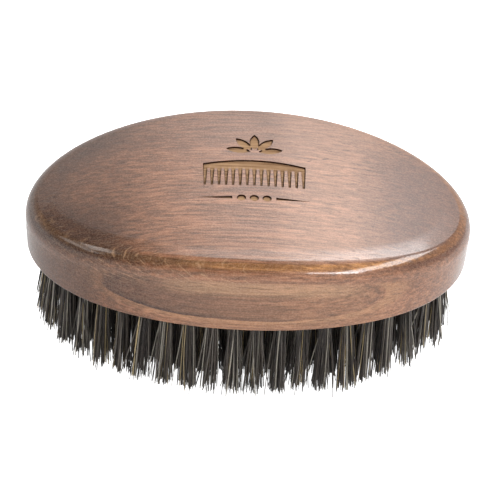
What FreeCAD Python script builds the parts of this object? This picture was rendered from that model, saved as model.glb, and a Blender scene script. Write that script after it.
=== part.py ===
import FreeCAD, Part
import math
import os

# Oval palm beard brush: one solid beech block, drilled from below, with a boar bristle tuft
# in every hole. Each tuft is folded over a short flat-wire anchor whose two ends bite into
# the wall of the hole.
#
# All lengths are millimetres. +X runs along the brush, +Y across it, +Z up.
# The origin is the middle of the plane that the bristle tips stand on.

# ---- driving dimensions -------------------------------------------------------------------

LENGTH = 113.0              # of the block, along X
WIDTH = 66.0                # of the block, along Y
BLOCK_HEIGHT = 21.4         # underside to the highest point of the top
BRISTLE_REACH = 22.8        # underside to the bristle tips
SHOULDER = 0.036            # how much fuller than an ellipse the oval is on its diagonals

ARCH_DROP = 9.0             # fall of the top from its middle to the two ends
CROWN_DROP = 1.4            # fall of the top from its middle to the two long sides
WALL_UNDERCUT = 0.5         # how far the wall leans in at the underside
WALL_WIDEST = 12.5          # height above the underside where the wall is widest
TOP_ROUND = 4.5             # radius of the rounded edge between top and wall
BOTTOM_ROUND = 0.6          # radius of the eased edge around the underside

HOLE_RADIUS = 1.6
HOLE_DEPTH = 6.5
TUFT_PITCH = 5.8            # hole to hole, along a ring
RING_PITCH = 5.2            # ring to ring
RING_COUNT = 5
SIDE_MARGIN = 4.6           # long side of the underside to the centres of the outer ring
END_MARGIN = 6.4            # the same, at the two ends
RING_LEAN = (6.0, 4.5, 3.0, 1.5, 0.5)   # degrees that each ring's tufts lean outward
CENTRE_COUNT = 9            # tufts in the straight row along the middle

TUFT_CLEARANCE = 0.05       # between the folded tuft and the wall of its hole
TUFT_TIP_RADIUS = 2.35      # the bundle fans out to this at the tips

ANCHOR_WIDTH = 3.6          # a little wider than the hole, so its ends bite into the wood
ANCHOR_HEIGHT = 1.6
ANCHOR_THICKNESS = 0.4
ANCHOR_SEAT = 1.1           # bristle folded between the hole's floor and the anchor

ENGRAVING_DEPTH = 0.4
ENGRAVING_CENTRE = (0.9, 4.5)

UNDERSIDE = BRISTLE_REACH
TOP = UNDERSIDE + BLOCK_HEIGHT
WALL_SECTIONS = 4
OUTLINE_POINTS = 32

Z = FreeCAD.Vector(0, 0, 1)


# ---- small helpers ------------------------------------------------------------------------

def vec(x, y, z=0.0):
    return FreeCAD.Vector(x, y, z)


def radius_of_arc(half_chord, drop):
    """Radius of an arc that falls by drop over half_chord."""
    return (half_chord ** 2 + drop ** 2) / (2 * drop)


def flat(edges):
    """Flat face inside a closed chain of edges."""
    return Part.Face(Part.Wire(edges))


def oval(half_length, half_width, z):
    """Closed smooth oval curve at height z, a little fuller than an ellipse."""
    turns = [i / OUTLINE_POINTS for i in range(OUTLINE_POINTS + 1)]
    points = []
    for turn in turns[:-1]:
        c, s = math.cos(2 * math.pi * turn), math.sin(2 * math.pi * turn)
        x = half_length * c * (1 + SHOULDER * s * s)
        y = half_width * s * (1 + SHOULDER * c * c)
        points.append(vec(x, y, z))
    curve = Part.BSplineCurve()
    curve.interpolate(Points=points, Parameters=turns, PeriodicFlag=True)
    return curve


# ---- the wooden block ---------------------------------------------------------------------

ARCH_RADIUS = radius_of_arc(LENGTH / 2, ARCH_DROP)
CROWN_RADIUS = radius_of_arc(WIDTH / 2, CROWN_DROP)


def wall_inset(height):
    """How far the wall stands in from the widest outline, at a height above the underside."""
    return WALL_UNDERCUT * (height / WALL_WIDEST - 1) ** 2


def walled_oval():
    """Closed oval column with the block's gently bulged wall, taller than the block.
    Its outline is in a back and a front half, so that no face closes on itself."""
    wires = []
    for i in range(WALL_SECTIONS):
        height = (BLOCK_HEIGHT + 1.0) * i / (WALL_SECTIONS - 1)
        inset = wall_inset(height)
        curve = oval(LENGTH / 2 - inset, WIDTH / 2 - inset, UNDERSIDE + height)
        wires.append(Part.Wire([curve.toShape(0, 0.5), curve.toShape(0.5, 1)]))
    return Part.makeLoft(wires, True)


def barrel(sunk=0.0):
    """Barrel-shaped solid whose upper skin is the block's arched and crowned top, or lies
    sunk below it. It is turned about an axis parallel to Y, far under the brush."""
    half = WIDTH * 0.75
    radius = ARCH_RADIUS - sunk
    edge_radius = radius - (CROWN_RADIUS - math.sqrt(CROWN_RADIUS ** 2 - half ** 2))
    axis_z = TOP - ARCH_RADIUS
    low_left = vec(0, -half, axis_z - edge_radius)
    low_right = vec(0, half, axis_z - edge_radius)
    hub_left = vec(0, -half, axis_z)
    hub_right = vec(0, half, axis_z)
    crown = Part.Arc(low_left, vec(0, 0, axis_z - radius), low_right).toShape()
    profile = flat([crown, Part.makeLine(low_right, hub_right),
                    Part.makeLine(hub_right, hub_left), Part.makeLine(hub_left, low_left)])
    return profile.revolve(vec(0, 0, axis_z), vec(0, 1, 0), 360)


def block_blank():
    """The shaped block before drilling and engraving, with both of its edges rounded."""
    blank = walled_oval().common(barrel())
    blank = blank.Solids[0]
    bottom = [e for e in blank.Edges if e.BoundBox.ZMax < UNDERSIDE + 0.01]
    blank = blank.makeFillet(BOTTOM_ROUND, bottom)
    top_face = max(blank.Faces, key=lambda f: f.CenterOfMass.z)
    return blank.makeFillet(TOP_ROUND, top_face.OuterWire.Edges)


# ---- the tuft pattern ---------------------------------------------------------------------

def ring_places(index):
    """Mouth point and lean direction of every hole of one ring, in order round the oval."""
    inset = wall_inset(0) + index * RING_PITCH
    a, b = LENGTH / 2 - END_MARGIN - inset, WIDTH / 2 - SIDE_MARGIN - inset
    ring = oval(a, b, UNDERSIDE).toShape()
    count = 2 * round(ring.Length / TUFT_PITCH / 2)
    lean = math.radians(RING_LEAN[index])
    places = []
    for mouth in ring.discretize(Number=2 * count + 1)[1::2]:
        outward = vec(mouth.x / a ** 2, mouth.y / b ** 2).normalize()
        along = outward * math.sin(lean) - Z * math.cos(lean)
        places.append((mouth, along))
    return places


def centre_places():
    """The straight middle row, with one tuft exactly over the origin."""
    first = -(CENTRE_COUNT - 1) / 2 * TUFT_PITCH
    return [(vec(first + i * TUFT_PITCH, 0, UNDERSIDE), Z * -1) for i in range(CENTRE_COUNT)]


def seat(shape, mouth, along):
    """Place a shape built at the origin, hole mouth at z = 0 and bristles towards -Z."""
    shape.Placement = FreeCAD.Placement(mouth, FreeCAD.Rotation(Z * -1, along))
    return shape


def hole_tool(mouth, along):
    """The drilled hole together with the two nicks that the anchor's ends press into it."""
    overrun = 1.0
    drill = Part.makeCylinder(HOLE_RADIUS, HOLE_DEPTH + overrun, vec(0, 0, -overrun))
    return seat(drill.fuse(anchor_blank()), mouth, along)


def anchor_blank():
    corner = vec(-ANCHOR_WIDTH / 2, -ANCHOR_THICKNESS / 2, anchor_base())
    return Part.makeBox(ANCHOR_WIDTH, ANCHOR_THICKNESS, ANCHOR_HEIGHT, corner)


def anchor_base():
    """Height of the anchor's lower edge above the hole's mouth."""
    return HOLE_DEPTH - ANCHOR_SEAT - ANCHOR_HEIGHT


def anchor(mouth, along):
    return seat(anchor_blank(), mouth, along)


def tuft(mouth, along):
    """One bundle: the folded shank in the hole and the bristles fanning out below it,
    trimmed level with the plane of the tips."""
    shank_radius = HOLE_RADIUS - TUFT_CLEARANCE
    reach = BRISTLE_REACH / -along.z
    trim = TUFT_TIP_RADIUS                       # extra length, trimmed off again
    grow = (TUFT_TIP_RADIUS - shank_radius) / reach
    end_radius = shank_radius + grow * (reach + trim)
    shank = Part.makeCylinder(shank_radius, HOLE_DEPTH - TUFT_CLEARANCE)
    fan = Part.makeCone(shank_radius, end_radius, reach + trim, vec(0, 0, 0), Z * -1)
    bundle = seat(shank.fuse(fan).cut(anchor_blank()), mouth, along)
    above_tips = Part.makeBox(2 * LENGTH, 2 * LENGTH, TOP, vec(-LENGTH, -LENGTH, 0))
    return bundle.common(above_tips).Solids[0]


# ---- the engraved ornament ----------------------------------------------------------------
# A barber's comb between a leaf spray and a rule of beads. It has no lettering.
# Its outlines lie on the XY plane, centred on (0, 0).

COMB_LENGTH = 26.0
COMB_SPINE = 3.6            # height of the back of the comb, in plan
COMB_BOW = 1.6              # how far the back of the comb bows up in the middle
COMB_TEETH = 15
TOOTH_LENGTH = 6.6
TOOTH_ROOT = 1.15
TOOTH_TIP = 0.55
COMB_Y = 0.4                # level where the teeth meet the spine

LEAF_LENGTH = 6.4
LEAF_WIDTH = 2.5
SPRAY_Y = 7.4               # where the leaves meet
SPRAY_TURNS = (0, 40, -40, 80, -80)      # degrees from straight up

RULE_Y = -11.0
RULE_LENGTH = 9.0
RULE_THICKNESS = 1.0
BEAD_RADIUS = 1.15
BEAD_PITCH = 3.2
BEAD_COUNT = 3


def comb_tooth(x):
    """A tapering tooth at x, let a little way into the spine so that the two join."""
    root_y, tip_y = COMB_Y + 0.2, COMB_Y - TOOTH_LENGTH
    corners = [vec(x - TOOTH_ROOT / 2, root_y), vec(x + TOOTH_ROOT / 2, root_y),
               vec(x + TOOTH_TIP / 2, tip_y), vec(x - TOOTH_TIP / 2, tip_y)]
    return Part.Face(Part.makePolygon(corners + corners[:1]))


def comb_outlines():
    half, spine_top = COMB_LENGTH / 2, COMB_Y + COMB_SPINE
    left, right = vec(-half, COMB_Y), vec(half, COMB_Y)
    left_top, right_top = vec(-half, spine_top - COMB_BOW), vec(half, spine_top - COMB_BOW)
    back = Part.Arc(right_top, vec(0, spine_top), left_top).toShape()
    outlines = [flat([Part.makeLine(left, right), Part.makeLine(right, right_top),
                      back, Part.makeLine(left_top, left)])]
    pitch = (COMB_LENGTH - TOOTH_ROOT) / (COMB_TEETH - 1)
    for i in range(COMB_TEETH):
        outlines.append(comb_tooth(-half + TOOTH_ROOT / 2 + i * pitch))
    return outlines


def leaf(turn):
    """A pointed leaf made of two arcs, growing from the spray's root."""
    gap = 1.0                                    # bare wood between the root and the leaf
    root, tip = vec(0, gap), vec(0, gap + LEAF_LENGTH)
    middle = gap + LEAF_LENGTH / 2
    one = Part.Arc(root, vec(LEAF_WIDTH / 2, middle), tip).toShape()
    other = Part.Arc(tip, vec(-LEAF_WIDTH / 2, middle), root).toShape()
    shape = flat([one, other])
    shape.rotate(vec(0, 0), Z, turn)
    shape.translate(vec(0, SPRAY_Y))
    return shape


def disc(x, y, radius):
    return flat([Part.makeCircle(radius, vec(x, y))])


def rule_outlines():
    """Three beads between two tapering dashes."""
    outlines = []
    for i in range(BEAD_COUNT):
        outlines.append(disc((i - (BEAD_COUNT - 1) / 2) * BEAD_PITCH, RULE_Y, BEAD_RADIUS))
    start = (BEAD_COUNT - 1) / 2 * BEAD_PITCH + 2 * BEAD_RADIUS
    for side in (-1, 1):
        corners = [vec(side * start, RULE_Y - RULE_THICKNESS / 2),
                   vec(side * (start + RULE_LENGTH), RULE_Y),
                   vec(side * start, RULE_Y + RULE_THICKNESS / 2)]
        outlines.append(Part.Face(Part.makePolygon(corners + corners[:1])))
    return outlines


def engraving_tool():
    """Everything the engraver removes: the outlines carried down through the top, kept
    only where they are above a skin that lies one engraving depth under it."""
    outlines = comb_outlines() + [leaf(turn) for turn in SPRAY_TURNS] + rule_outlines()
    prisms = [face.extrude(Z * BLOCK_HEIGHT) for face in outlines]
    tool = prisms[0].multiFuse(prisms[1:]).removeSplitter()
    tool.translate(vec(*ENGRAVING_CENTRE, UNDERSIDE + BLOCK_HEIGHT / 2))
    return tool.cut(barrel(ENGRAVING_DEPTH))


# ---- assembly -----------------------------------------------------------------------------

def export(name, solids):
    shape = solids[0] if len(solids) == 1 else Part.makeCompound(solids)
    shape.exportStep(f"parts/{name}.step")


def main():
    os.makedirs("parts", exist_ok=True)

    rows = {}
    for index in range(RING_COUNT):
        places = ring_places(index)
        rows[f"ring_{index + 1}_front"] = [p for p in places if p[0].y < 0]
        rows[f"ring_{index + 1}_back"] = [p for p in places if p[0].y > 0]
    rows["centre_row"] = centre_places()

    holes = [hole_tool(*place) for places in rows.values() for place in places]
    block = block_blank().cut(holes).cut(engraving_tool())
    export("wooden_block", block.Solids)

    for name, places in rows.items():
        export(f"tufts_{name}", [tuft(*place) for place in places])
        export(f"anchors_{name}", [anchor(*place) for place in places])


main()
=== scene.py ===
import math

import bpy
import numpy as np
from mathutils import Matrix, Vector


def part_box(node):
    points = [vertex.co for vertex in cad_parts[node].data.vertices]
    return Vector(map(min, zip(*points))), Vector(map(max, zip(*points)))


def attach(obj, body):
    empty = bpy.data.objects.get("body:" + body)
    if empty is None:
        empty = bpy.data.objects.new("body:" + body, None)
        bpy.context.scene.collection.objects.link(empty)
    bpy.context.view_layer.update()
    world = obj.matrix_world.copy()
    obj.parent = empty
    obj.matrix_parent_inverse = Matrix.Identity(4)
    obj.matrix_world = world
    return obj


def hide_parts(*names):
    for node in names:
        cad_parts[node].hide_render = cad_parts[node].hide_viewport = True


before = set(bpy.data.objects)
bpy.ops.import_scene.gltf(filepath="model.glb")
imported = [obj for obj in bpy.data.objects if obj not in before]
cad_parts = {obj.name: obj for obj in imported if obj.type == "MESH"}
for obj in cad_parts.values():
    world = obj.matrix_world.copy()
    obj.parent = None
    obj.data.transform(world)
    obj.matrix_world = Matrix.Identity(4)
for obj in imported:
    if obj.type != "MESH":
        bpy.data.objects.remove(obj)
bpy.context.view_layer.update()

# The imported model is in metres. Shapes and patterns below are worked out in millimetres.
MM = 0.001
RANDOM_SEED = 11

block_low, block_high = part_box("wooden_block")
UNDERSIDE = block_low.z / MM             # level of the drilled face
TOP = block_high.z / MM                  # highest point of the arched top
HALF_LENGTH = block_high.x / MM
HALF_WIDTH = block_high.y / MM

# The top is a barrel skin: an arch along X that is crowned across Y.
ARCH_DROP = 9.0
CROWN_DROP = 1.4
ARCH_RADIUS = (HALF_LENGTH ** 2 + ARCH_DROP ** 2) / (2 * ARCH_DROP)
CROWN_RADIUS = (HALF_WIDTH ** 2 + CROWN_DROP ** 2) / (2 * CROWN_DROP)


# ---- node material helpers ----------------------------------------------------------------

class Graph:
    """A thin layer over a material's node tree: each call adds one node and returns its output."""

    def __init__(self, owner):
        self.owner = owner
        owner.use_nodes = True
        self.tree = owner.node_tree
        self.tree.nodes.clear()

    @classmethod
    def for_material(cls, name):
        return cls(bpy.data.materials.new(name))

    @classmethod
    def for_world(cls, name):
        world = bpy.data.worlds.new(name)
        bpy.context.scene.world = world
        return cls(world)

    def node(self, kind, **settings):
        made = self.tree.nodes.new(kind)
        for key, value in settings.items():
            setattr(made, key, value)
        return made

    def feed(self, socket, value):
        """Link value into socket if it is another node's output, or else set it as a number."""
        if isinstance(value, bpy.types.NodeSocket):
            self.tree.links.new(value, socket)
        elif value is not None:
            socket.default_value = value

    def math(self, operation, a, b=None):
        made = self.node("ShaderNodeMath", operation=operation)
        for socket, value in zip(made.inputs, (a, b)):
            self.feed(socket, value)
        return made.outputs[0]

    def add(self, a, b):
        return self.math("ADD", a, b)

    def sub(self, a, b):
        return self.math("SUBTRACT", a, b)

    def mul(self, a, b):
        return self.math("MULTIPLY", a, b)

    def square(self, a):
        return self.math("POWER", a, 2.0)

    def place_mm(self):
        """The point being shaded, in millimetres, whole and as x, y, z."""
        source = self.node("ShaderNodeTexCoord").outputs["Object"]
        scaled = self.node("ShaderNodeVectorMath", operation="SCALE")
        self.feed(scaled.inputs[0], source)
        self.feed(scaled.inputs["Scale"], 1 / MM)
        parts = self.node("ShaderNodeSeparateXYZ")
        self.feed(parts.inputs[0], scaled.outputs[0])
        return scaled.outputs[0], parts.outputs[0], parts.outputs[1], parts.outputs[2]

    def stretched(self, point, sx, sy, sz, offset=(0, 0, 0)):
        """The point with its axes scaled, so that a noise on it is drawn out along the grain."""
        made = self.node("ShaderNodeVectorMath", operation="MULTIPLY_ADD")
        self.feed(made.inputs[0], point)
        made.inputs[1].default_value = (sx, sy, sz)
        made.inputs[2].default_value = offset
        return made.outputs[0]

    def noise(self, vector, detail=2.0, roughness=0.5):
        made = self.node("ShaderNodeTexNoise")
        self.feed(made.inputs["Vector"], vector)
        for key, value in (("Scale", 1.0), ("Detail", detail), ("Roughness", roughness)):
            made.inputs[key].default_value = value
        return made.outputs[0]

    def smooth(self, value, start, end):
        """0 below start, 1 above end, with a smooth rise between them. end may be below start."""
        made = self.node("ShaderNodeMapRange", interpolation_type="SMOOTHERSTEP")
        self.feed(made.inputs["Value"], value)
        if end < start:
            self.feed(made.inputs["From Min"], end)
            self.feed(made.inputs["From Max"], start)
            self.feed(made.inputs["To Min"], 1.0)
            self.feed(made.inputs["To Max"], 0.0)
        else:
            self.feed(made.inputs["From Min"], start)
            self.feed(made.inputs["From Max"], end)
        return made.outputs[0]

    def ramp(self, value, stops):
        """Colour ramp. stops is a list of (place, colour)."""
        made = self.node("ShaderNodeValToRGB")
        elements = made.color_ramp.elements
        while len(elements) < len(stops):
            elements.new(0.5)
        for element, (place, colour) in zip(elements, stops):
            element.position = place
            element.color = (*colour, 1.0)
        self.feed(made.inputs[0], value)
        return made.outputs[0]

    def mix(self, factor, a, b):
        """Mix of two colours: a where factor is 0, b where it is 1."""
        made = self.node("ShaderNodeMix", data_type="RGBA")
        self.feed(made.inputs["Factor"], factor)
        for socket, value in ((made.inputs[6], a), (made.inputs[7], b)):
            self.feed(socket, (*value, 1.0) if isinstance(value, tuple) else value)
        return made.outputs[2]

    def tinted(self, base, layers):
        """The base colour under layers, each a mask, how much of it shows and its colour."""
        for mask, share, colour in layers:
            base = self.mix(self.mul(mask, share), base, colour)
        return base

    def scaled(self, colour, factor):
        """A colour made brighter or darker by a factor."""
        made = self.node("ShaderNodeVectorMath", operation="SCALE")
        self.feed(made.inputs[0], colour)
        self.feed(made.inputs["Scale"], factor)
        return made.outputs[0]

    def bump(self, height, strength, distance):
        made = self.node("ShaderNodeBump")
        made.inputs["Strength"].default_value = strength
        made.inputs["Distance"].default_value = distance
        self.feed(made.inputs["Height"], height)
        return made.outputs[0]

    def dot(self, a, b):
        made = self.node("ShaderNodeVectorMath", operation="DOT_PRODUCT")
        self.feed(made.inputs[0], a)
        made.inputs[1].default_value = b
        return made.outputs["Value"]

    def surface(self, **inputs):
        """The finished surface. Input names use underscores for spaces."""
        shader = self.node("ShaderNodeBsdfPrincipled")
        for key, value in inputs.items():
            socket = shader.inputs[key.replace("_", " ")]
            self.feed(socket, (*value, 1.0) if isinstance(value, tuple) else value)
        output = self.node("ShaderNodeOutputMaterial")
        self.tree.links.new(shader.outputs[0], output.inputs[0])
        return self.owner

    def background(self, strength):
        """The finished surround. The camera itself sees plain white behind the object."""
        sky, plain = self.node("ShaderNodeBackground"), self.node("ShaderNodeBackground")
        self.feed(sky.inputs["Strength"], strength)
        self.feed(sky.inputs["Color"], (1.0, 0.99, 0.98, 1.0))
        self.feed(plain.inputs["Color"], (1.0, 1.0, 1.0, 1.0))
        pick = self.node("ShaderNodeMixShader")
        self.feed(pick.inputs[0], self.node("ShaderNodeLightPath").outputs["Is Camera Ray"])
        self.feed(pick.inputs[1], sky.outputs[0])
        self.feed(pick.inputs[2], plain.outputs[0])
        output = self.node("ShaderNodeOutputWorld")
        self.feed(output.inputs[0], pick.outputs[0])


# ---- stained and lacquered beech ----------------------------------------------------------

def depth_under_top(g, x, y, z):
    """How deep a point lies under the arched top skin, in millimetres."""
    hub = TOP - ARCH_RADIUS
    across = g.math("SQRT", g.sub(CROWN_RADIUS ** 2, g.square(y)))
    skin = g.sub(ARCH_RADIUS - CROWN_RADIUS, g.mul(across, -1.0))
    reach = g.math("SQRT", g.add(g.square(x), g.square(g.sub(z, hub))))
    return g.sub(skin, reach)


def inset_from_wall(g, x, y):
    """How far a point stands in from the block's outline, in millimetres, near the outline."""
    a, b = HALF_LENGTH, HALF_WIDTH
    spread = g.math("SQRT", g.add(g.square(g.mul(x, 1 / a)), g.square(g.mul(y, 1 / b))))
    slope = g.math("SQRT", g.add(g.square(g.mul(x, 1 / a ** 2)), g.square(g.mul(y, 1 / b ** 2))))
    return g.math("DIVIDE", g.mul(g.sub(1.0, spread), spread), slope)


HEART_CENTRE = (-1.0, 9.8)       # of the figure on the front wall: along X, above the underside
HEART_HALF = (35.0, 6.2)         # half its length and height
HEART_POWERS = (3.0, 2.3)        # how square its ends and its long sides are
HEART_WOBBLE = 0.45


def figure_field(g, point, x, height):
    """Growth rings on the front wall: 1 on the edge of the dark heart, more outside it."""
    wobble = g.sub(g.noise(g.stretched(point, 0.040, 0.10, 0.16), detail=4.0, roughness=0.6), 0.5)
    field = g.mul(wobble, HEART_WOBBLE)
    for place, centre, half, power in zip((x, height), HEART_CENTRE, HEART_HALF, HEART_POWERS):
        off = g.math("ABSOLUTE", g.mul(g.sub(place, centre), 1 / half))
        field = g.add(field, g.math("POWER", off, power))
    return field


# The curled lines: spacing in millimetres, half width as a share of it, strength.
CURLS = ((3.6, 0.12, 1.0), (1.15, 0.17, 0.50))
CURL_SWEEP = 0.22                # how fast a line bends away as it runs down over the edge
CURL_WARP = 9.0                  # how far, in millimetres, the lines wander


def edge_curls(g, point, x, depth, inset):
    """Pale curved lines, hollow side right, where thin growth layers run out over the rounded
    front edge and carry on along the wall."""
    warp = g.sub(g.noise(g.stretched(point, 0.10, 0.14, 0.16, (2, 5, 9)), detail=2.0), 0.5)
    below = g.add(g.sub(depth, inset), 0.9)
    sweep = g.sub(x, g.mul(g.square(below), CURL_SWEEP))
    sweep = g.add(sweep, g.mul(warp, CURL_WARP))
    lines = 0.0
    for spacing, width, strength in CURLS:
        saw = g.math("ABSOLUTE", g.sub(g.math("FRACT", g.mul(sweep, 1 / spacing)), 0.5))
        lines = g.math("MAXIMUM", lines, g.mul(g.smooth(saw, width, 0.0), strength))
    patchy = g.noise(g.stretched(point, 0.35, 0.35, 0.35, (7, 3, 1)), detail=3.0, roughness=0.6)
    lines = g.mul(lines, g.smooth(patchy, 0.36, 0.56))
    fading = g.mul(g.smooth(x, 10.0, -6.0), g.add(0.35, g.mul(g.smooth(x, -44.0, -30.0), 0.65)))
    on_edge = g.mul(g.smooth(inset, 4.9, 4.0), g.smooth(depth, 8.5, 4.0))
    return g.mul(lines, g.mul(fading, on_edge))


def nick(g, x, y, at, turn, length, width):
    """A short scratch on the top, at a place in millimetres, turned turn degrees from X."""
    c, s = math.cos(math.radians(turn)), math.sin(math.radians(turn))
    dx, dy = g.sub(x, at[0]), g.sub(y, at[1])
    along = g.add(g.mul(dx, c), g.mul(dy, s))
    across = g.sub(g.mul(dy, c), g.mul(dx, s))
    reach = g.add(g.square(g.mul(along, 2 / length)), g.square(g.mul(across, 2 / width)))
    return g.smooth(reach, 1.0, 0.3)


class OnBlock:
    """The point being shaded on the block, and masks that tell which part of the block it is on.
    Lengths are in millimetres."""

    def __init__(self, g):
        self.point, self.x, self.y, z = g.place_mm()
        facing = g.node("ShaderNodeSeparateXYZ")
        g.feed(facing.inputs[0], g.node("ShaderNodeNewGeometry").outputs["Normal"])
        self.end_grain = g.square(facing.outputs[0])
        self.up = facing.outputs[2]
        self.height = g.sub(z, UNDERSIDE)
        self.depth = depth_under_top(g, self.x, self.y, z)
        self.inset = inset_from_wall(g, self.x, self.y)
        self.on_top = g.smooth(self.depth, 2.6, 0.6)
        self.on_wall = g.smooth(self.depth, 3.4, 5.4)
        self.front = g.smooth(self.y, 2.0, -10.0)
        self.left_end = g.smooth(self.x, -15.0, -44.0)


class Grain:
    """Noises drawn out along the length of the block, from the broadest to the finest."""

    def __init__(self, g, point):
        def noise(scale, offset=(0, 0, 0), **settings):
            return g.noise(g.stretched(point, *scale, offset), **settings)

        self.bands = noise((0.010, 0.10, 0.15), detail=3.0, roughness=0.55)
        self.clouds = noise((0.050, 0.09, 0.09), (4, 4, 8), detail=4.0, roughness=0.6)
        self.streaks = noise((0.055, 1.25, 1.4), (3, 7, 2), detail=4.0, roughness=0.72)
        self.flecks = noise((0.28, 0.80, 0.80), (6, 2, 7), detail=4.0, roughness=0.7)
        self.fibres = noise((0.30, 2.4, 2.8), (9, 1, 5), detail=3.0, roughness=0.75)
        dashes = noise((0.13, 1.45, 1.7), (1, 8, 3), detail=3.0, roughness=0.6)
        self.pores = g.smooth(dashes, 0.55, 0.68)
        self.speckle = noise((2.6, 3.2, 3.2), detail=1.0)


def plain_wood(g, grain):
    """The stained wood before anything that belongs to one place on the block."""
    base = g.ramp(grain.bands, [(0.32, (0.270, 0.115, 0.058)), (0.50, (0.360, 0.156, 0.080)),
                                (0.70, (0.440, 0.198, 0.106))])
    return g.tinted(base, (
        (g.smooth(grain.streaks, 0.64, 0.34), 0.56, (0.105, 0.044, 0.024)),
        (g.smooth(grain.streaks, 0.56, 0.74), 0.32, (0.56, 0.285, 0.170)),
        (g.smooth(grain.fibres, 0.52, 0.74), 0.45, (0.60, 0.30, 0.17)),
        (g.smooth(grain.fibres, 0.48, 0.26), 0.40, (0.120, 0.050, 0.028)),
        (g.smooth(grain.clouds, 0.52, 0.70), 0.30, (0.150, 0.070, 0.045)),
    ))


def wall_figure(g, base, at, grain):
    """The wall: on its front a dark heart in a pale border, outlined by growth rings, with its
    left end and its lower edge the darkest. Just under the rounded front edge runs a pale band,
    a painted reflection of the bright front of the studio."""
    x, on_wall = at.x, at.on_wall
    front_wall = g.mul(at.front, on_wall)
    rings = figure_field(g, at.point, x, at.height)
    inside = g.smooth(rings, 1.06, 0.92)
    heart = g.mul(inside, g.add(0.16, g.mul(g.smooth(x, 30.0, -30.0), 0.56)))
    low_edge = g.mul(g.smooth(at.height, 8.0, 5.0), g.smooth(x, 22.0, 4.0))
    darkest = g.add(g.mul(g.smooth(x, -6.0, -30.0), 0.56), g.mul(low_edge, 0.60))
    rim = g.mul(g.mul(inside, g.smooth(rings, 0.50, 0.98)), darkest)
    border = g.mul(g.smooth(rings, 0.98, 1.06), g.smooth(rings, 1.90, 1.15))
    second = g.mul(g.smooth(rings, 0.78, 0.86), g.smooth(rings, 0.94, 0.86))
    second = g.mul(second, g.smooth(x, 24.0, 31.0))
    lighter = g.mul(g.mul(g.smooth(x, -34.0, 0.0), g.smooth(x, 44.0, 26.0)), on_wall)
    # Painted reflection: a pale band just under the rounded front edge, where the wall faces the
    # bright front of the studio.
    reflection_under_edge = g.mul(g.mul(g.smooth(at.depth, 3.2, 4.6), g.smooth(at.depth, 9.5, 6.5)), at.front)
    reflection_under_edge = g.mul(reflection_under_edge, g.mul(g.smooth(x, -30.0, -8.0), g.smooth(x, 34.0, 18.0)))
    side_patch = g.mul(g.smooth(x, -37.4, -39.4), g.smooth(at.height, 12.5, 9.5))
    side_patch = g.mul(side_patch, g.smooth(grain.clouds, 0.36, 0.50))
    return g.tinted(base, (
        (lighter, 0.15, (0.60, 0.36, 0.21)),
        (g.mul(front_wall, heart), 1.0, (0.110, 0.056, 0.038)),
        (g.mul(front_wall, rim), 1.0, (0.050, 0.028, 0.022)),
        (g.mul(front_wall, border), 0.50, (0.49, 0.255, 0.130)),
        (g.mul(front_wall, second), 0.40, (0.080, 0.042, 0.030)),
        (reflection_under_edge, 0.40, (0.62, 0.37, 0.21)),
        (g.mul(front_wall, side_patch), 0.45, (0.080, 0.050, 0.038)),
    ))


def uneven_tone(g, base, at):
    """Darker towards the far side, both ends and above all the left corner of the top, and
    lighter right of the middle. All end grain took up more stain."""
    x, y, on_top = at.x, at.y, at.on_top
    far_side = g.mul(g.smooth(y, 4.0, 27.0), on_top)
    far_side = g.mul(far_side, g.sub(1.0, g.mul(g.smooth(x, 26.0, 46.0), 0.6)))
    pale_middle = g.mul(g.mul(g.smooth(x, 2.0, 14.0), g.smooth(x, 42.0, 22.0)), on_top)
    darker_front_left = g.mul(g.mul(g.smooth(y, 3.0, -16.0), g.smooth(x, -22.0, -40.0)), on_top)
    corner = g.mul(g.mul(g.smooth(x, -22.0, -42.0), g.smooth(at.inset, 13.0, 6.0)), on_top)
    right_end = g.mul(g.mul(g.smooth(x, 20.0, 44.0), g.smooth(y, 28.0, 8.0)), on_top)
    return g.tinted(base, (
        (far_side, 0.42, (0.120, 0.052, 0.030)),
        (pale_middle, 0.32, (0.60, 0.34, 0.23)),
        (at.left_end, 0.69, (0.085, 0.031, 0.014)),
        (darker_front_left, 0.62, (0.050, 0.018, 0.009)),
        (corner, 0.60, (0.045, 0.018, 0.010)),
        (right_end, 0.80, (0.110, 0.046, 0.032)),
        (at.end_grain, 0.58, (0.075, 0.032, 0.018)),
    ))


def golden_edge(g, base, at, grain):
    """The rounded edge was sanded thin and shows a warmer, more golden wood, most of all along
    the front and right of the middle. Towards the left end the golden colour is darkened by
    painted shade."""
    edge = g.mul(g.smooth(at.up, 0.965, 0.90), g.smooth(at.up, 0.62, 0.82))
    worn = g.mul(g.smooth(at.x, 46.0, 26.0), g.smooth(at.y, 2.0, -12.0))
    golden = g.ramp(grain.streaks, [(0.34, (0.300, 0.125, 0.038)), (0.66, (0.740, 0.350, 0.120))])
    golden = g.tinted(golden, (
        (g.smooth(grain.flecks, 0.47, 0.58), 0.55, (0.180, 0.070, 0.022)),
        # Painted shade: the golden colour turns dark brown towards the left end, where less light
        # falls on the edge.
        (g.smooth(at.x, 14.0, -32.0), 1.0, (0.105, 0.048, 0.020)),
    ))
    curls = g.mul(edge_curls(g, at.point, at.x, at.depth, at.inset), at.front)
    return g.tinted(base, (
        (edge, g.add(0.30, g.mul(worn, 0.50)), golden),
        (curls, 0.52, (0.60, 0.35, 0.19)),
    ))


# Two scratches on the top: place in millimetres, turn in degrees, length, width.
SCRATCHES = (((19.0, 11.4), 20, 2.4, 0.55), ((14.9, 9.8), 30, 2.0, 0.30))


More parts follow.
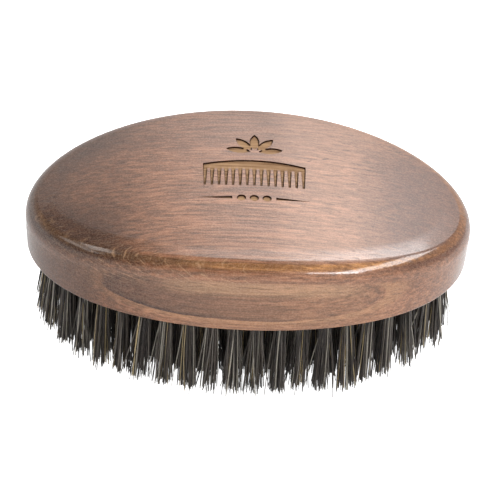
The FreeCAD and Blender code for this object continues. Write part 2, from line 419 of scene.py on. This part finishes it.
def fine_grain(g, base, at, grain, scratches):
    """Streaks, pores, speckle and scratches that show over all the stains."""
    contrast = g.mul(g.add(0.26, g.mul(at.left_end, 0.22)),
                     g.sub(1.0, g.mul(at.end_grain, 0.6)))
    streak = g.sub(g.smooth(grain.streaks, 0.34, 0.66), 0.5)
    base = g.scaled(base, g.add(1.0, g.mul(contrast, streak)))
    base = g.tinted(base, ((grain.pores, 0.434, (0.030, 0.012, 0.006)),))
    base = g.mix(g.smooth(grain.speckle, 0.34, 0.70), g.mix(0.13, base, (0.03, 0.015, 0.01)),
                 g.mix(0.10, base, (0.75, 0.52, 0.38)))
    return g.tinted(base, ((scratches, 0.75, (0.050, 0.028, 0.020)),))


MARK_CENTRE = (0.9, 4.5)
MARK_HALF = (15.0, 17.0)         # half the size of the area that holds the engraved ornament
MARK_SOFT = 0.5
CUT_STARTS = (0.02, 0.06)        # depths between which a point stops being on the top skin
CUT_FLOOR = (0.34, 0.385)        # depths between which it comes to be on the engraved floor
SCORCH_REACH = 0.5 * MM          # how far from a corner the floor is scorched


def engraved_area(g, at):
    area = 1.0
    for place, centre, half in zip((at.x, at.y), MARK_CENTRE, MARK_HALF):
        off = g.math("ABSOLUTE", g.sub(place, centre))
        area = g.mul(area, g.smooth(off, half + MARK_SOFT, half))
    return area


def engraved(g, base, at, grain, area, cut):
    """The ornament: scorched edges round a floor of bare, lightly toasted wood."""
    corner = g.node("ShaderNodeAmbientOcclusion", samples=8, only_local=True)
    g.feed(corner.inputs["Distance"], SCORCH_REACH)
    toasted = g.ramp(grain.streaks, [(0.36, (0.230, 0.125, 0.062)), (0.66, (0.500, 0.310, 0.170))])
    scorched = g.smooth(corner.outputs["AO"], 0.92, 0.55)
    return g.tinted(base, (
        (cut, 1.0, (0.026, 0.011, 0.006)),
        (g.smooth(at.depth, *CUT_FLOOR), area, g.mix(scorched, toasted, (0.060, 0.025, 0.013))),
    ))


GLOSSY, SATIN = 0.08, 0.33       # coat roughness at the front edge and on the rest of the top
RELIEF_DEPTH = 0.09 * MM         # of the wood's own surface
COAT_RELIEF_DEPTH = 0.05 * MM    # of the lacquer over it


def make_beech():
    g = Graph.for_material("stained_beech_lacquered")
    at = OnBlock(g)
    grain = Grain(g, at.point)
    scratches = 0.0
    for place, turn, length, width in SCRATCHES:
        scratches = g.add(scratches, nick(g, at.x, at.y, place, turn, length, width))
    scratches = g.mul(scratches, at.on_top)
    area = engraved_area(g, at)
    cut = g.mul(g.smooth(at.depth, *CUT_STARTS), area)

    base = plain_wood(g, grain)
    base = wall_figure(g, base, at, grain)
    base = uneven_tone(g, base, at)
    base = golden_edge(g, base, at, grain)
    base = fine_grain(g, base, at, grain, scratches)
    base = engraved(g, base, at, grain, area, cut)

    rough = g.add(g.add(0.42, g.mul(grain.streaks, 0.12)), g.mul(cut, 0.30))
    relief = g.add(g.mul(grain.fibres, 0.7), g.mul(grain.pores, -0.9))
    relief = g.sub(g.add(relief, g.mul(grain.streaks, 0.8)), g.mul(scratches, 1.5))

    # The lacquer is thinner on the front wall, missing in the ornament, and rubbed to a satin
    # finish on the top. The ends of the wall have a pale, dusty rim.
    coat = g.mul(g.sub(1.0, cut), g.add(0.80, g.mul(grain.fibres, 0.20)))
    coat = g.mul(coat, g.sub(1.0, g.mul(g.mul(at.front, at.on_wall), 0.32)))
    rubbed = g.math("MAXIMUM", g.smooth(at.inset, 5.0, 9.0), g.smooth(at.y, -8.0, 4.0))
    rubbed = g.mul(rubbed, at.on_top)
    wall_end = g.mul(g.smooth(g.math("ABSOLUTE", at.x), 34.0, 50.0), at.on_wall)
    return g.surface(Base_Color=base, Roughness=rough, Specular_IOR_Level=0.15,
                     Normal=g.bump(relief, 0.45, RELIEF_DEPTH),
                     Coat_Weight=coat, Coat_IOR=1.5,
                     Coat_Roughness=g.add(GLOSSY, g.mul(rubbed, SATIN - GLOSSY)),
                     Coat_Normal=g.bump(relief, 0.12, COAT_RELIEF_DEPTH),
                     Sheen_Weight=g.mul(wall_end, 0.7), Sheen_Roughness=0.30)


# ---- flat wire ----------------------------------------------------------------------------

def make_wire():
    g = Graph.for_material("galvanised_flat_wire")
    point = g.place_mm()[0]
    spangle = g.noise(g.stretched(point, 2.0, 2.0, 2.0), detail=3.0)
    scratches = g.noise(g.stretched(point, 3.0, 3.0, 22.0), detail=2.0)
    colour = g.ramp(spangle, [(0.35, (0.42, 0.41, 0.39)), (0.65, (0.66, 0.65, 0.62))])
    rough = g.add(0.28, g.mul(scratches, 0.25))
    normal = g.bump(scratches, 0.3, 0.02 * MM)
    return g.surface(Base_Color=colour, Metallic=1.0, Roughness=rough, Normal=normal)


# ---- boar bristle -------------------------------------------------------------------------

HAIR_COLOUR = "hair_colour"

# Share of the hairs, colour near the root, colour near the tip.
HAIR_KINDS = (
    (0.39, (0.010, 0.007, 0.006), (0.022, 0.016, 0.013)),    # black
    (0.30, (0.030, 0.022, 0.016), (0.056, 0.044, 0.034)),    # dark brown
    (0.19, (0.090, 0.078, 0.066), (0.150, 0.132, 0.114)),    # grey
    (0.09, (0.260, 0.235, 0.190), (0.400, 0.370, 0.310)),    # pale grey
    (0.03, (0.330, 0.240, 0.110), (0.460, 0.360, 0.200)),    # straw
)
STRAY_SHARES = (0.25, 0.20, 0.25, 0.20, 0.10)   # of the same kinds, among crossing hairs


def make_bristle():
    g = Graph.for_material("boar_bristle")
    point = g.place_mm()[0]
    own = g.node("ShaderNodeAttribute", attribute_name=HAIR_COLOUR).outputs["Color"]
    scales = g.noise(g.stretched(point, 2.5, 2.5, 0.9), detail=3.0, roughness=0.6)
    colour = g.mix(g.smooth(scales, 0.40, 0.70), own, g.mix(0.3, own, (0.13, 0.11, 0.09)))
    rough = g.add(0.32, g.mul(scales, 0.25))
    normal = g.bump(scales, 0.2, 0.03 * MM)
    return g.surface(Base_Color=colour, Roughness=rough, Normal=normal, Specular_IOR_Level=0.45,
                     Anisotropic=0.5)


END_LEVEL = 0.01                 # a CAD tuft's trimmed end lies lower than this
SEAT_DEPTH = 0.6                 # thickness of the slice taken at its upper end

STRAND_SIDES = 4
STRAND_RINGS = 6
STRAND_RADIUS = (0.125, 0.200)   # thinnest and thickest hair, at the root
STRAND_TAPER = 0.30              # share of its radius that a hair loses towards its tip
STRANDS_PER_TUFT = 72
TUFT_ROOT_RADIUS = 1.45
TUFT_TIP_RADIUS = 2.25
ROOT_SINK = 1.2                  # how far up inside its hole a strand starts
STRAIGHTENED = (0.982, 1.0, 1.0)    # the end tufts hang a little straighter than their holes
TIP_GAP = 0.03                   # the least height of a hair above the floor

# Hairs gather in a few locks, and each tuft, lock and hair leans its own way and is cut to its
# own length. These are spreads in millimetres.
LOCKS = 5
LOCK_LEAN, TUFT_LEAN, HAIR_LEAN = 0.60, 0.45, 0.25
TRIM = 1.00                      # how far a hair usually ends short of the tuft's own end
LOCK_TRIM, TUFT_TRIM, HAIR_TRIM = 0.50, 0.35, 0.55
TRIM_LIMITS = (0.05, 5.0)
BEND = 0.16

# Some hairs stray: they cross the others, bend more and stick out or fall short.
STRAY_SHARE = 0.09
STRAY_LEAN = 2.0
STRAY_BEND = 0.35
STRAY_TRIM = (-1.2, 2.2)         # the least extra trim, and its range


def tuft_axes(node):
    """Mouth centre and tip centre of each tuft of a CAD node, read from its separate solids."""
    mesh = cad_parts[node].data
    count = len(mesh.vertices)
    places = np.zeros(count * 3)
    mesh.vertices.foreach_get("co", places)
    places = places.reshape(-1, 3) / MM
    edges = np.zeros(len(mesh.edges) * 2, int)
    mesh.edges.foreach_get("vertices", edges)
    keys = np.unique(np.round(places, 3), axis=0, return_inverse=True)[1].ravel()
    label = np.arange(keys.max() + 1)
    pairs = keys[edges.reshape(-1, 2)]
    while True:
        low = np.minimum(label[pairs[:, 0]], label[pairs[:, 1]])
        before = label.copy()
        np.minimum.at(label, pairs[:, 0], low)
        np.minimum.at(label, pairs[:, 1], low)
        label = label[label]
        if (label == before).all():
            break
    solid = label[keys]
    found = []
    for which in np.unique(solid):
        own = places[solid == which]
        tips = own[own[:, 2] < END_LEVEL]
        top = own[own[:, 2] > own[:, 2].max() - SEAT_DEPTH]
        tip, seat = middle(tips), middle(top)
        share = (UNDERSIDE - tip[2]) / (seat[2] - tip[2])
        found.append((tip + (seat - tip) * share, tip * STRAIGHTENED))
    return sorted(found, key=lambda pair: (round(pair[0][0], 2), round(pair[0][1], 2)))


def middle(points):
    return (points.min(0) + points.max(0)) / 2


def unit(rows):
    return rows / np.linalg.norm(rows, axis=-1, keepdims=True)


def strand_paths(mouth, tip, rng):
    """Centre lines of the strands of one tuft: an array of strands, rings and coordinates."""
    n = STRANDS_PER_TUFT
    axis = unit(tip - mouth)
    side = unit(np.cross(axis, (0.0, 1.0, 0.0)))
    other = np.cross(axis, side)
    radius = np.sqrt(rng.random(n))
    angle = rng.random(n) * 2 * np.pi
    root = np.stack([radius * np.cos(angle), radius * np.sin(angle)], 1)

    lock = rng.integers(0, LOCKS, n)
    lock_lean = rng.normal(0, LOCK_LEAN, (LOCKS, 2)) + rng.normal(0, TUFT_LEAN, 2)
    spread = root * TUFT_TIP_RADIUS + lock_lean[lock] + rng.normal(0, HAIR_LEAN, (n, 2))
    stray = rng.random(n) < STRAY_SHARE
    spread[stray] += rng.normal(0, STRAY_LEAN, (stray.sum(), 2))
    bend = rng.normal(0, BEND, (n, 2))
    bend += np.where(stray[:, None], rng.normal(0, STRAY_BEND, (n, 2)), 0)

    length = np.linalg.norm(tip - mouth)
    lock_trim = rng.normal(0, LOCK_TRIM, LOCKS) + rng.normal(0, TUFT_TRIM)
    trim = TRIM + lock_trim[lock] + np.abs(rng.normal(0, HAIR_TRIM, n))
    least, extra = STRAY_TRIM
    trim[stray] += rng.random(stray.sum()) * extra + least
    trim = np.clip(trim, *TRIM_LIMITS)

    t = np.linspace(0, 1, STRAND_RINGS)
    reach = (length - trim)[:, None] * t[None, :]
    share = reach / length
    flat = (root[:, None, :] * TUFT_ROOT_RADIUS * (1 - share[..., None])
            + spread[:, None, :] * share[..., None]
            + bend[:, None, :] * (np.sin(share * np.pi))[..., None])
    line = (mouth + axis * reach[..., None]
            + side * flat[..., 0:1] + other * flat[..., 1:2])
    inside = line[:, :1] - axis * ROOT_SINK
    line = np.concatenate([inside, line], 1)
    line[..., 2] = np.maximum(line[..., 2], TIP_GAP)
    return line, stray


def strand_mesh(name, paths, stray, rng):
    """One mesh of closed, tapering strands, with a colour for each hair."""
    n, rings = paths.shape[:2]
    tangent = unit(np.gradient(paths, axis=1))
    twist = rng.random(n) * 2 * np.pi
    side = unit(np.cross(tangent, np.stack([np.cos(twist), np.sin(twist), 0 * twist], 1)[:, None]))
    other = np.cross(tangent, side)
    t = np.linspace(0, 1, rings)
    root_radius = rng.uniform(*STRAND_RADIUS, n)
    radius = root_radius[:, None] * (1.0 - STRAND_TAPER * t[None, :] ** 3)
    flatness = rng.uniform(0.55, 1.0, n)
    corner = np.arange(STRAND_SIDES) * 2 * np.pi / STRAND_SIDES
    ring = (side[:, :, None] * np.cos(corner)[None, None, :, None] * flatness[:, None, None, None]
            + other[:, :, None] * np.sin(corner)[None, None, :, None])
    points = paths[:, :, None] + ring * radius[:, :, None, None]
    points = points.reshape(n, -1, 3)

    walls = []
    for r in range(rings - 1):
        for s in range(STRAND_SIDES):
            nxt = (s + 1) % STRAND_SIDES
            walls.append([r * STRAND_SIDES + s, r * STRAND_SIDES + nxt,
                          (r + 1) * STRAND_SIDES + nxt, (r + 1) * STRAND_SIDES + s])
    last = (rings - 1) * STRAND_SIDES
    ends = [[STRAND_SIDES - 1 - s for s in range(STRAND_SIDES)],
            [last + s for s in range(STRAND_SIDES)]]
    pattern = np.array(walls + ends)
    per = rings * STRAND_SIDES
    faces = (pattern[None] + (np.arange(n) * per)[:, None, None]).reshape(-1, 4)

    mesh = bpy.data.meshes.new(name)
    mesh.vertices.add(n * per)
    mesh.vertices.foreach_set("co", (points * MM).astype(np.float32).ravel())
    mesh.loops.add(faces.size)
    mesh.loops.foreach_set("vertex_index", faces.ravel().astype(np.int32))
    mesh.polygons.add(len(faces))
    mesh.polygons.foreach_set("loop_start", np.arange(0, faces.size, 4, dtype=np.int32))
    mesh.polygons.foreach_set("use_smooth", np.ones(len(faces), bool))
    mesh.update(calc_edges=True)
    colour_hairs(mesh, stray, t, rng)
    return mesh


def colour_hairs(mesh, stray, t, rng):
    """Give every hair its own colour, darker where it leaves the wood. Hairs that cross the
    others are pale more often."""
    n, rings = len(stray), len(t)
    common = rng.choice(len(HAIR_KINDS), n, p=[kind[0] for kind in HAIR_KINDS])
    crossing = rng.choice(len(HAIR_KINDS), n, p=STRAY_SHARES)
    kind = np.where(stray, crossing, common)
    root = np.array([k[1] for k in HAIR_KINDS])[kind]
    tip = np.array([k[2] for k in HAIR_KINDS])[kind]
    own = rng.uniform(0.75, 1.3, (n, 1))
    along = root[:, None] * (1 - t)[None, :, None] + tip[:, None] * t[None, :, None]
    along = along * own[:, None]
    rgba = np.ones((n, rings, STRAND_SIDES, 4), np.float32)
    rgba[..., :3] = along[:, :, None, :]
    layer = mesh.color_attributes.new(HAIR_COLOUR, "FLOAT_COLOR", "POINT")
    layer.data.foreach_set("color", rgba.ravel())


def make_tufts(node, material, rng):
    """Real strands in place of one CAD node's plain tufts."""
    lines, strays = zip(*(strand_paths(mouth, tip, rng) for mouth, tip in tuft_axes(node)))
    paths, strays = np.concatenate(lines), np.concatenate(strays)
    name = node.replace("tufts", "bristles")
    mesh = strand_mesh(name, paths, strays, rng)
    mesh.materials.append(material)
    piece = bpy.data.objects.new(name, mesh)
    bpy.context.scene.collection.objects.link(piece)
    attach(piece, "root")
    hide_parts(node)
    return piece


# ---- the object ---------------------------------------------------------------------------

def dress(node, material):
    """Give a CAD node its finished material."""
    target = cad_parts[node]
    target.data.materials.clear()
    target.data.materials.append(material)


def build_object():
    dress("wooden_block", make_beech())
    wire, bristle = make_wire(), make_bristle()
    rng = np.random.default_rng(RANDOM_SEED)
    for node in sorted(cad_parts):
        if node.startswith("anchors"):
            dress(node, wire)
        if node.startswith("tufts"):
            make_tufts(node, bristle, rng)


# ---- studio -------------------------------------------------------------------------------

def make_floor():
    """A white sweep, lit through from below so that the camera sees it without a shadow."""
    g = Graph.for_material("white_sweep")
    point = g.place_mm()[0]
    paper = g.noise(g.stretched(point, 0.4, 0.4, 0.4), detail=3.0)
    colour = g.ramp(paper, [(0.3, (0.93, 0.93, 0.93)), (0.7, (0.95, 0.95, 0.95))])
    seen = g.node("ShaderNodeLightPath").outputs["Is Camera Ray"]
    material = g.surface(Base_Color=colour, Roughness=0.9, Specular_IOR_Level=0.1,
                         Emission_Color=(1.0, 1.0, 1.0), Emission_Strength=g.add(0.22, seen))
    half = 4.0
    mesh = bpy.data.meshes.new("floor")
    corners = [(-half, -half, 0), (half, -half, 0), (half, half, 0), (-half, half, 0)]
    mesh.from_pydata(corners, [], [(0, 1, 2, 3)])
    mesh.materials.append(material)
    floor = bpy.data.objects.new("floor", mesh)
    bpy.context.scene.collection.objects.link(floor)


def towards(azimuth, elevation):
    """Unit vector. Azimuth 0 is behind the brush (+Y), 90 is to its right (+X), in degrees."""
    a, e = math.radians(azimuth), math.radians(elevation)
    return Vector((math.sin(a) * math.cos(e), math.cos(a) * math.cos(e), math.sin(e)))


def strip_light(name, middle, along, length, width, radiance, colour=(1.0, 1.0, 1.0)):
    """A long rectangular light that faces the brush. middle and along are vectors in metres,
    and radiance is how bright its face is."""
    data = bpy.data.lights.new(name, "AREA")
    data.shape = "RECTANGLE"
    data.size, data.size_y = length, width
    data.energy = radiance * length * width * math.pi
    data.color = colour
    away = middle.normalized()
    x_axis = (along - along.dot(away) * away).normalized()
    y_axis = away.cross(x_axis)
    lamp = bpy.data.objects.new(name, data)
    turned = Matrix((x_axis, y_axis, away)).transposed().to_4x4()
    lamp.matrix_world = Matrix.Translation(middle) @ turned
    bpy.context.scene.collection.objects.link(lamp)


# Soft lights painted on the surround, in degrees: azimuth, elevation, half width and half
# height of the part at full strength, how far the sides, the top and the bottom fade beyond
# it, then the strength.
GLOWS = (
    (14.0, 46.0, 9.0, 6.0, 15.0, 7.0, 28.0, 4.0),        # the big window behind
    (-13.0, 28.0, 9.0, 2.0, 7.0, 5.0, 8.0, 1.9),         # the pale wall left of it
    (-72.0, 53.5, 7.0, 1.5, 7.0, 5.5, 7.0, 4.2),         # a small window high on the left
    (-86.0, 42.0, 13.0, 1.5, 7.0, 5.0, 5.0, 2.4),        # its pale sill
)


def make_world():
    """A dark studio ceiling over a pale horizon, with the soft lights painted on it."""
    g = Graph.for_world("studio")
    direction = g.node("ShaderNodeTexCoord").outputs["Generated"]
    parts = g.node("ShaderNodeSeparateXYZ")
    g.feed(parts.inputs[0], direction)
    sideways = g.add(g.mul(g.smooth(parts.outputs[0], 0.95, 0.30), 0.45),
                     g.mul(g.smooth(parts.outputs[0], -0.40, -1.00), 0.30))
    horizon = g.mul(g.smooth(parts.outputs[2], 0.60, 0.14), g.add(0.55, sideways))
    strength = g.add(0.02, horizon)
    for azimuth, elevation, wide, high, side, top, bottom, level in GLOWS:
        ahead = towards(azimuth, elevation)
        right = towards(azimuth + 90, 0)
        above = right.cross(ahead)
        forward, across, over = (g.dot(direction, v) for v in (ahead, right, above))
        tilt_x = g.math("MULTIPLY", g.math("ARCTAN2", across, forward), math.degrees(1))
        tilt_y = g.math("MULTIPLY", g.math("ARCTAN2", over, forward), math.degrees(1))
        aside = g.math("MAXIMUM", g.sub(g.math("ABSOLUTE", tilt_x), wide), 0.0)
        over_top = g.math("MAXIMUM", g.sub(tilt_y, high), 0.0)
        under = g.math("MAXIMUM", g.sub(g.mul(tilt_y, -1.0), high), 0.0)
        out_y = g.add(g.mul(over_top, 1 / top), g.mul(under, 1 / bottom))
        away = g.math("SQRT", g.add(g.square(g.mul(aside, 1 / side)), g.square(out_y)))
        strength = g.add(strength, g.mul(g.smooth(away, 1.0, 0.0), level))
    g.background(strength)


def light_studio():
    strip_light("overhead_strip", Vector((0.68, -0.12, 0.80)), Vector((-0.05, 1.0, 0.0)),
                1.60, 0.19, 11.0, colour=(0.985, 0.99, 1.0))
    strip_light("window_top_edge", Vector((0.26, 0.64, 0.80)), Vector((1.0, 0.64, 0.0)),
                0.52, 0.10, 6.0)
    strip_light("strip_near_end", Vector((0.62, -0.83, 0.80)), Vector((1.0, 0.0, 0.0)),
                0.42, 0.20, 11.5, colour=(0.95, 0.975, 1.0))


CAMERA_ELEVATION = 40.0       # degrees above the floor
CAMERA_YAW = 2.15             # degrees that the brush's right end is turned away
CAMERA_ROLL = 3.7             # degrees that the brush's right end hangs down in the frame
CAMERA_DISTANCE = 786.4       # from the point it looks at
CAMERA_TARGET = 9.33          # height of that point above the underside
CAMERA_LENS = 223.3           # focal length, on a sensor of the width below
CAMERA_SENSOR = 36.0
CAMERA_SHIFT = (0.0031, -0.0645)


def make_camera():
    e, yaw, roll = (math.radians(v) for v in (CAMERA_ELEVATION, -CAMERA_YAW, CAMERA_ROLL))
    target = Vector((0, 0, (UNDERSIDE + CAMERA_TARGET) * MM))
    turn = Matrix.Rotation(yaw, 3, "Z")
    back = turn @ Vector((0, -math.cos(e), math.sin(e)))
    right = turn @ Vector((1, 0, 0))
    up = back.cross(right)
    tilted_right = right * math.cos(roll) + up * math.sin(roll)
    tilted_up = up * math.cos(roll) - right * math.sin(roll)
    data = bpy.data.cameras.new("camera")
    data.lens = CAMERA_LENS
    data.sensor_width = CAMERA_SENSOR
    data.shift_x, data.shift_y = CAMERA_SHIFT
    camera = bpy.data.objects.new("camera", data)
    axes = Matrix((tilted_right, tilted_up, back)).transposed().to_4x4()
    camera.matrix_world = Matrix.Translation(target + back * CAMERA_DISTANCE * MM) @ axes
    bpy.context.scene.collection.objects.link(camera)
    bpy.context.scene.camera = camera


build_object()
make_floor()
make_world()
light_studio()
make_camera()
bpy.context.scene.view_settings.view_transform = "Standard"
